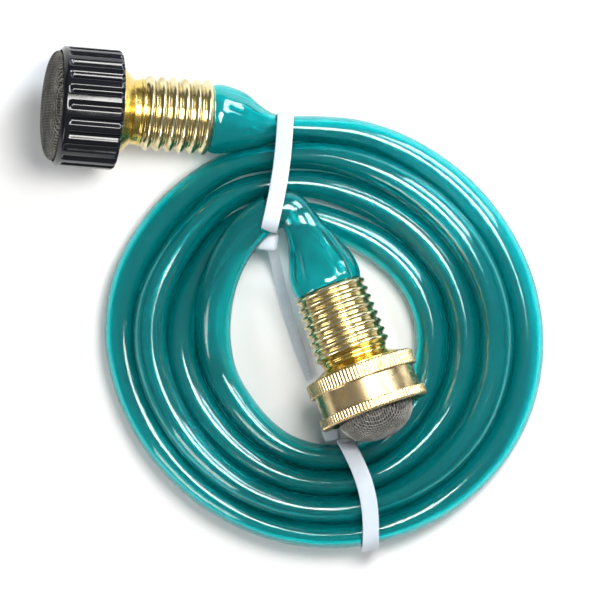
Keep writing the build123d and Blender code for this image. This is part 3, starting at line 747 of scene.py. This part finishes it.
# ---- brass nut ----
# Turned brass with a plain bright band between two straight-knurled rims, chamfered at the mouth.
RIM_R, BAND_R, BRASS_NUT_LENGTH = 0.0160, 0.0147, 0.0137
HOSE_RIM, MOUTH_RIM = 0.0043, 0.0029
TEETH, TOOTH_DEPTH, PER_TOOTH = 96, 0.00042, 8
END_CHAMFER, KNURL_CHAMFER, THREAD_CHAMFER = 0.0004, 0.0002, 0.0008
BACK_DROP, TOOTH_FADE = 0.0005, 0.0003
start, lip = INNER_NUT_START, INNER_NUT_START + BRASS_NUT_LENGTH
brass_back = start + INNER_BACK_WALL
band_start, band_end = start + HOSE_RIM, lip - MOUTH_RIM
brass_profile = eased([
    (start, JOURNAL_R + PLAY), (start, RIM_R - BACK_DROP), (start + END_CHAMFER, RIM_R),
    (band_start - KNURL_CHAMFER, RIM_R), (band_start, RIM_R - KNURL_CHAMFER), (band_start, BAND_R),
    (band_end, BAND_R), (band_end, RIM_R - KNURL_CHAMFER), (band_end + KNURL_CHAMFER, RIM_R),
    (lip - END_CHAMFER, RIM_R), (lip, RIM_R - END_CHAMFER), (lip, THREAD_R + THREAD_CHAMFER),
    (lip - THREAD_CHAMFER, THREAD_R), (brass_back, THREAD_R), (brass_back, JOURNAL_R + PLAY),
], 0.00016)
# 1 on the rims, falling to nothing over the chamfers
on_rims = np.clip((brass_profile[:, 1:] - (RIM_R - END_CHAMFER)) / TOOTH_FADE, 0, 1)


def knurl(along, turn):
    """Teeth with flat tops and V grooves, a third of the pitch wide: 3 |2 (96 t / 2 pi mod 1) - 1| - 2."""
    groove = np.clip(3 * np.abs(2 * np.mod(TEETH * turn / (2 * pi), 1.0) - 1) - 2, 0, 1)
    return -TOOTH_DEPTH * groove * on_rims


NUT_BRASS, NUT_DARK = (0.70, 0.53, 0.29, 1), (0.44, 0.32, 0.15, 1)
brass_points = turned(brass_profile, TEETH * PER_TOOTH, knurl)
brass_nut = skin("brass_nut_knurled", on_coupling(inner_coupling, brass_points),
                 metal_material("nut_brass", NUT_BRASS, NUT_DARK, 0.20, 3800.0, inner_coupling))
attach(brass_nut, "brass_nut")
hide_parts("brass_nut")

# ---- washers ----
# Flat black rubber seals on the tailpieces' flanges, with softly rounded edges.
WASHER_R, WASHER_HOLE_R, WASHER_T = 0.0133, 0.0085, 0.0030
for name, coupling, body, back in (
    ("outer_washer", outer_coupling, "black_nut", nut_back),
    ("inner_washer", inner_coupling, "brass_nut", brass_back),
):
    low = back + FLANGE_T + 2 * AXIAL_GAP
    high = low + WASHER_T
    profile = eased([(low, WASHER_HOLE_R), (low, WASHER_R), (high, WASHER_R), (high, WASHER_HOLE_R)], 0.0006)
    washer = skin(name + "_rubber", on_coupling(coupling, turned(profile, FEW_COLUMNS)),
                  plastic_material(name + "_black", (0.02, 0.02, 0.02, 1), 0.55, 0.5))
    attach(washer, body)
    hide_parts(name)

# ---- strainers ----
# A pressed steel rim holds a dome of two layers: a coarse plain weave of steel wire over a fine gauze
# whose gaps are painted near black as shadow. The wide flat dome is pushed into the black nut's mouth
# and the round one into the brass nut.
WIRE_R, WIRE_SIDES, WIRE_STEP, LEAST_STEPS = 0.00013, 5, 0.00022, 6
WIRE_REACH = 0.999  # wires end just inside the dome's edge
# the dome's radius, rise and roundness, and the coarse weave's pitch
OUTER_SCREEN = (0.0157, 0.0038, 2.6, 0.00078)
INNER_SCREEN = (0.0108, 0.0076, 2.0, 0.00070)
OUTER_STEEL = (0.22, 0.21, 0.19, 1), (0.10, 0.095, 0.085, 1)  # bright and dull
INNER_STEEL = (0.36, 0.35, 0.32, 1), (0.17, 0.16, 0.15, 1)
STRAINER_RIM_T, OUTER_RIM_BORE_R, INNER_RIM_BORE_R = 0.0008, 0.0138, 0.0094
GAUZE_T, GAUZE_DROP, DOME_ROWS = 0.00018, 2.5 * WIRE_R, 40


def dome_height(distance, radius, rise, power):
    """Height of the dome over its foot: rise (1 - (d / radius) ** power) ** (1 / power)."""
    return rise * np.clip(1 - (distance / radius) ** power, 0, 1) ** (1 / power)


def woven(name, coupling, foot, screen, material):
    """Wires in two directions over the dome. Wire k lies at offset k pitch and passes over and under the
    others: height + WIRE_R sin(pi (u / pitch + k + 1/2)), and the other direction half a period on. A
    wire's length over the dome is about 2.4 times half its span."""
    radius, rise, power, pitch = screen
    count = int((radius - WIRE_R) / pitch)
    sides = np.linspace(0, 2 * pi, WIRE_SIDES, endpoint=False)
    vertices, faces, offset = [], [], 0
    for direction, level in enumerate(np.array([(0.0, 0.0, 1.0), (0.0, 1.0, 0.0)])):
        for k in range(-count, count + 1):
            across = k * pitch
            half = WIRE_REACH * np.sqrt(radius ** 2 - across ** 2)
            steps = max(int(2.4 * half / WIRE_STEP), LEAST_STEPS)
            run = half * np.sin(np.linspace(-pi / 2, pi / 2, steps))
            high = foot + dome_height(np.hypot(run, across), radius, rise, power)
            high = high + WIRE_R * np.sin(pi * (run / pitch + k + direction + 0.5))
            flat = (run, np.full(steps, across))
            line = np.stack([high, flat[direction], flat[1 - direction]], axis=1)
            out = unit(np.cross(unit(np.gradient(line, axis=0)), level))
            thick = np.r_[0, np.ones(steps - 2), 0] * WIRE_R
            ring = np.cos(sides)[:, None] * level + np.sin(sides)[:, None] * out[:, None]
            vertices.append((line[:, None] + thick[:, None, None] * ring).reshape(-1, 3))
            corner = offset + np.arange(steps * WIRE_SIDES).reshape(steps, WIRE_SIDES)
            beside = np.roll(corner, -1, axis=1)
            side_faces = np.stack([corner[:-1], beside[:-1], beside[1:], corner[1:]], axis=-1)
            faces.append(side_faces.reshape(-1, 4))
            offset += steps * WIRE_SIDES
    points = on_coupling(coupling, np.concatenate(vertices))
    mesh = bpy.data.meshes.new(name)
    mesh.from_pydata(points.tolist(), [], np.concatenate(faces).tolist())
    return piece_of(name, mesh, material, 1e-8)


def gauze_material(name, colour):
    """Fine gauze under the coarse weave: specks of the steel's colour where its wires cross, and painted
    shadow, near black, in the gaps between them.
    """
    material, nodes, links = empty_material(name)
    place = nodes.new("ShaderNodeTexCoord")
    place.label = "place on the piece"
    place.location = (-1100, 0)
    speck_frame = nodes.new("NodeFrame")
    speck_frame.label = "wire crossings"
    specks = nodes.new("ShaderNodeTexVoronoi")
    specks.label = "crossings of fine wire"
    specks.location = (-850, 0)
    specks.parent = speck_frame
    specks.inputs["Scale"].default_value = 3600.0
    shade = nodes.new("ShaderNodeValToRGB")
    shade.label = "wire to shadow"
    shade.location = (-600, 100)
    shade.parent = speck_frame
    shade.color_ramp.elements[0].position = 0.15
    shade.color_ramp.elements[0].color = colour
    # the near-black end is painted shadow for the gaps between the fine wires
    shade.color_ramp.elements[1].position = 0.60
    shade.color_ramp.elements[1].color = (0.02, 0.02, 0.02, 1)
    relief = nodes.new("ShaderNodeBump")
    relief.label = "crossings in relief"
    relief.location = (-600, -250)
    relief.parent = speck_frame
    relief.invert = True
    relief.inputs["Strength"].default_value = 0.7
    relief.inputs["Distance"].default_value = 0.0001
    surface = nodes.new("ShaderNodeBsdfPrincipled")
    surface.label = "steel gauze"
    surface.location = (-250, 0)
    surface.inputs["Metallic"].default_value = 0.8
    surface.inputs["Roughness"].default_value = 0.42
    out = nodes.new("ShaderNodeOutputMaterial")
    out.location = (50, 0)
    links.new(place.outputs["Object"], specks.inputs["Vector"])
    links.new(specks.outputs["Distance"], shade.inputs["Fac"])
    links.new(specks.outputs["Distance"], relief.inputs["Height"])
    links.new(shade.outputs["Color"], surface.inputs["Base Color"])
    links.new(relief.outputs["Normal"], surface.inputs["Normal"])
    links.new(surface.outputs["BSDF"], out.inputs["Surface"])
    return material


inner_rim_start = brass_back + FLANGE_T + 2 * AXIAL_GAP + WASHER_T
for side, coupling, body, rim_start, bore_r, rim_r, foot, screen, (bright, dull) in (
    ("outer", outer_coupling, "black_nut", seat, OUTER_RIM_BORE_R, SEAT_R - PLAY, mouth, OUTER_SCREEN,
     OUTER_STEEL),
    ("inner", inner_coupling, "brass_nut", inner_rim_start, INNER_RIM_BORE_R, WASHER_R - 2 * PLAY, lip,
     INNER_SCREEN, INNER_STEEL),
):
    steel = metal_material(side + "_steel", bright, dull, 0.34, 3000.0, coupling)
    rim_end = rim_start + STRAINER_RIM_T
    ring_profile = [(rim_start, bore_r), (rim_start, rim_r), (rim_end, rim_r), (rim_end, bore_r)]
    ring_points = turned(eased(ring_profile, 0.0002), FEW_COLUMNS)
    rim = skin(side + "_strainer_ring", on_coupling(coupling, ring_points), steel)
    radius, rise, power = screen[:3]
    reach = radius - 2 * WIRE_R
    shares = np.sin(np.linspace(0, pi / 2, DOME_ROWS))
    over = np.c_[foot + dome_height(reach * shares, reach, rise - GAUZE_DROP, power), reach * shares]
    under = over - np.c_[np.full(DOME_ROWS, GAUZE_T), GAUZE_T * shares]
    skirt = np.array([(rim_end, reach), (rim_end, reach - GAUZE_T)])
    gauze_points = turned(np.concatenate([over, skirt, under[::-1]]))
    gauze = skin(side + "_strainer_gauze", on_coupling(coupling, gauze_points),
                 gauze_material(side + "_gauze", bright), close_rows=False)
    wires = woven(side + "_strainer_wires", coupling, foot, screen, steel)
    for piece in (rim, gauze, wires):
        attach(piece, body)
    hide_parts(side + "_strainer_rim")
    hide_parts(side + "_strainer_dome")

# ---- cable ties ----
# White nylon straps, 4.8 mm wide, drawn tight round the turns, each with its ratchet head at the inner
# edge. The top one keeps its long tail, and the bottom one's is cut off.
STRAP_WIDTH, STRAP_STEP, STRAP_SIDES = 0.0048, 0.0007, 20
STRAP_BEND = 0.0036  # how far from each corner the strap begins to turn
TOP_INNER, TOP_OUTER = (-0.0162, 0.0293), (-0.0113, 0.0640)
BOTTOM_INNER, BOTTOM_OUTER = (0.0056, -0.0300), (0.0130, -0.0622)
TIED_TOP, RAISED_TOP, RAISED_TO = 0.0138, 0.0230, 0.0100  # the top strap is raised over the climbing end
TOP_BOW, BOTTOM_BOW = -0.0010, 0.0028
# each head: its place from the strap's inner end, along, across and up, and its size in the same order
TOP_HEAD = (-0.0026, 0.0, 0.01375), (0.0052, 0.0064, 0.0055)
BOTTOM_HEAD = (-0.0023, -0.0035, 0.0069), (0.0046, 0.0050, 0.0050)
HEAD_POWER, HEAD_ROWS, HEAD_COLUMNS = 5.0, 25, 48  # the power says how square: 2 is an ellipsoid
TAIL_ROUTE = (
    (-0.0154, 0.0256, 0.0120), (-0.0146, 0.0225, 0.0050), (-0.0114, 0.0080, 0.0014),
    (-0.0080, -0.0020, 0.0012), (-0.0044, -0.0132, 0.0010),
)
TAIL_WIDTH, TIP_NARROWS, TIP_SHARE = 0.0030, 0.0012, 0.2
TAIL_T, TAIL_TOOTH, PER_TAIL_TOOTH, TAIL_STEP = 0.0009, 0.0002, 4, 0.0003


def ribbon(name, line, outwards, sideways, width, thickness, closed):
    """A strap along a line: at each point a rounded rectangle, width along sideways and thickness along
    outwards, from (|u|^6 + |v|^6 = 1)."""
    turn = np.linspace(0, 2 * pi, STRAP_SIDES, endpoint=False)
    u = np.sign(np.cos(turn)) * np.abs(np.cos(turn)) ** (1 / 3)
    v = np.sign(np.sin(turn)) * np.abs(np.sin(turn)) ** (1 / 3)
    points = (line[:, None] + (u * width[:, None] / 2)[..., None] * sideways[:, None]
              + (v * thickness[:, None] / 2)[..., None] * outwards[:, None])
    if not closed:
        points = np.concatenate([points[:1] * 0 + line[0], points, points[:1] * 0 + line[-1]])
    return skin(name, points, white_nylon, close_rows=closed)


def tie_frame(inner, outer):
    """A tie's upright plane: its inner end on the table, along its strap outwards, across it, and length."""
    inner, outer = COIL + (*inner, 0), COIL + (*outer, 0)
    length = np.linalg.norm(outer - inner)
    along = (outer - inner) / length
    return inner, along, np.array([-along[1], along[0], 0.0]), length


def nylon_material():
    """White nylon: light sinks in a little, with a fine drawn grain along the strap and soft gloss."""
    material, nodes, links = empty_material("white_nylon")
    place = nodes.new("ShaderNodeTexCoord")
    place.label = "place on the piece"
    place.location = (-1100, 0)
    cloud_frame = nodes.new("NodeFrame")
    cloud_frame.label = "clouding"
    cloud = nodes.new("ShaderNodeTexNoise")
    cloud.label = "milky clouds"
    cloud.location = (-850, 100)
    cloud.parent = cloud_frame
    cloud.inputs["Scale"].default_value = 180.0
    tint = nodes.new("ShaderNodeValToRGB")
    tint.label = "clear to milky"
    tint.location = (-600, 100)
    tint.parent = cloud_frame
    tint.color_ramp.elements[0].color = (0.40, 0.45, 0.50, 1)
    tint.color_ramp.elements[1].color = (0.55, 0.59, 0.64, 1)
    grain = nodes.new("ShaderNodeTexNoise")
    grain.label = "drawn grain"
    grain.location = (-850, -250)
    grain.inputs["Scale"].default_value = 1500.0
    relief = nodes.new("ShaderNodeBump")
    relief.label = "grain in relief"
    relief.location = (-600, -250)
    relief.inputs["Strength"].default_value = 0.15
    relief.inputs["Distance"].default_value = 0.00003
    surface = nodes.new("ShaderNodeBsdfPrincipled")
    surface.label = "nylon"
    surface.location = (-250, 0)
    surface.inputs["Roughness"].default_value = 0.38
    surface.inputs["Subsurface Weight"].default_value = 0.35
    surface.inputs["Subsurface Radius"].default_value = (0.8, 1.0, 1.0)
    surface.inputs["Subsurface Scale"].default_value = 0.0012
    out = nodes.new("ShaderNodeOutputMaterial")
    out.location = (50, 0)
    links.new(place.outputs["Object"], cloud.inputs["Vector"])
    links.new(cloud.outputs["Fac"], tint.inputs["Fac"])
    links.new(tint.outputs["Color"], surface.inputs["Base Color"])
    links.new(place.outputs["Object"], grain.inputs["Vector"])
    links.new(grain.outputs["Fac"], relief.inputs["Height"])
    links.new(relief.outputs["Normal"], surface.inputs["Normal"])
    links.new(surface.outputs["BSDF"], out.inputs["Surface"])
    return material


white_nylon = nylon_material()


def strap_loop(name, tie, last_corners, bow):
    """The strap's closed loop round (along, height) corners: under the coil, up its outer side, and over it
    through the last ones. Its top run is bowed sideways by bow sin(pi x / length)."""
    place, along, across, length = tie
    far = length - STRAP_T
    path = eased([(STRAP_T, STRAP_T), (far, STRAP_T), (far, TIED_TOP)] + last_corners, STRAP_BEND, 9)
    path = evenly(np.c_[np.concatenate([path, path[:1]]), np.zeros(len(path) + 1)], STRAP_STEP)[:-1, :2]
    ahead = unit(np.roll(path, -1, axis=0) - np.roll(path, 1, axis=0))
    outwards = np.stack([ahead[:, 1], -ahead[:, 0]], axis=1)
    middle = path + outwards * STRAP_T / 2
    sag = bow * np.sin(pi * np.clip(middle[:, 0] / length, 0, 1)) * np.clip(middle[:, 1] / TIED_TOP, 0, 1)
    plane = np.array([along, (0.0, 0.0, 1.0)])
    line = place + middle @ plane + sag[:, None] * across
    normal = outwards @ plane
    sideways = np.broadcast_to(across, line.shape)
    width, thickness = np.full(len(line), STRAP_WIDTH), np.full(len(line), STRAP_T)
    return ribbon(name, line, normal, sideways, width, thickness, True)


def head_block(name, tie, head):
    """A ratchet head: a rounded block from (|x|^p + |y|^p + |z|^p = 1)."""
    place, along, across = tie[:3]
    axes = np.array([along, across, (0.0, 0.0, 1.0)])
    offset, size = np.array(head)
    lat = np.linspace(-pi / 2, pi / 2, HEAD_ROWS)[:, None]
    lon = np.linspace(0, 2 * pi, HEAD_COLUMNS, endpoint=False)
    ball = np.stack([np.cos(lat) * np.cos(lon), np.cos(lat) * np.sin(lon), np.sin(lat) + 0 * lon], axis=-1)
    block = ball / (np.abs(ball) ** HEAD_POWER).sum(axis=-1, keepdims=True) ** (1 / HEAD_POWER)
    return skin(name, place + (offset + block * size / 2) @ axes, white_nylon, close_rows=False)


top_tie, bottom_tie = tie_frame(TOP_INNER, TOP_OUTER), tie_frame(BOTTOM_INNER, BOTTOM_OUTER)
top_strap = strap_loop("top_tie_strap", top_tie, [(RAISED_TO, RAISED_TOP), (STRAP_T, RAISED_TOP)], TOP_BOW)
top_head = head_block("top_tie_head", top_tie, TOP_HEAD)
tail_line = evenly(line_of("tail_route", [COIL + p for p in TAIL_ROUTE]), TAIL_STEP)
ahead = unit(np.gradient(tail_line, axis=0))
sideways = unit(np.cross(ahead, (0.0, 0.0, 1.0)))
share = np.linspace(0, 1, len(tail_line))
tail_width = TAIL_WIDTH - TIP_NARROWS * np.clip((share - (1 - TIP_SHARE)) / TIP_SHARE, 0, 1)
saw = np.mod(np.arange(len(tail_line)) / PER_TAIL_TOOTH, 1.0)
tail = ribbon("top_tie_tail", tail_line, np.cross(sideways, ahead), sideways, tail_width,
              TAIL_T + TAIL_TOOTH * saw, False)
bottom_strap = strap_loop("bottom_tie_strap", bottom_tie, [(STRAP_T, TIED_TOP)], BOTTOM_BOW)
bottom_head = head_block("bottom_tie_head", bottom_tie, BOTTOM_HEAD)
for piece in (top_strap, top_head, tail, bottom_strap, bottom_head):
    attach(piece, "root")
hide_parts("top_cable_tie")
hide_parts("bottom_cable_tie")
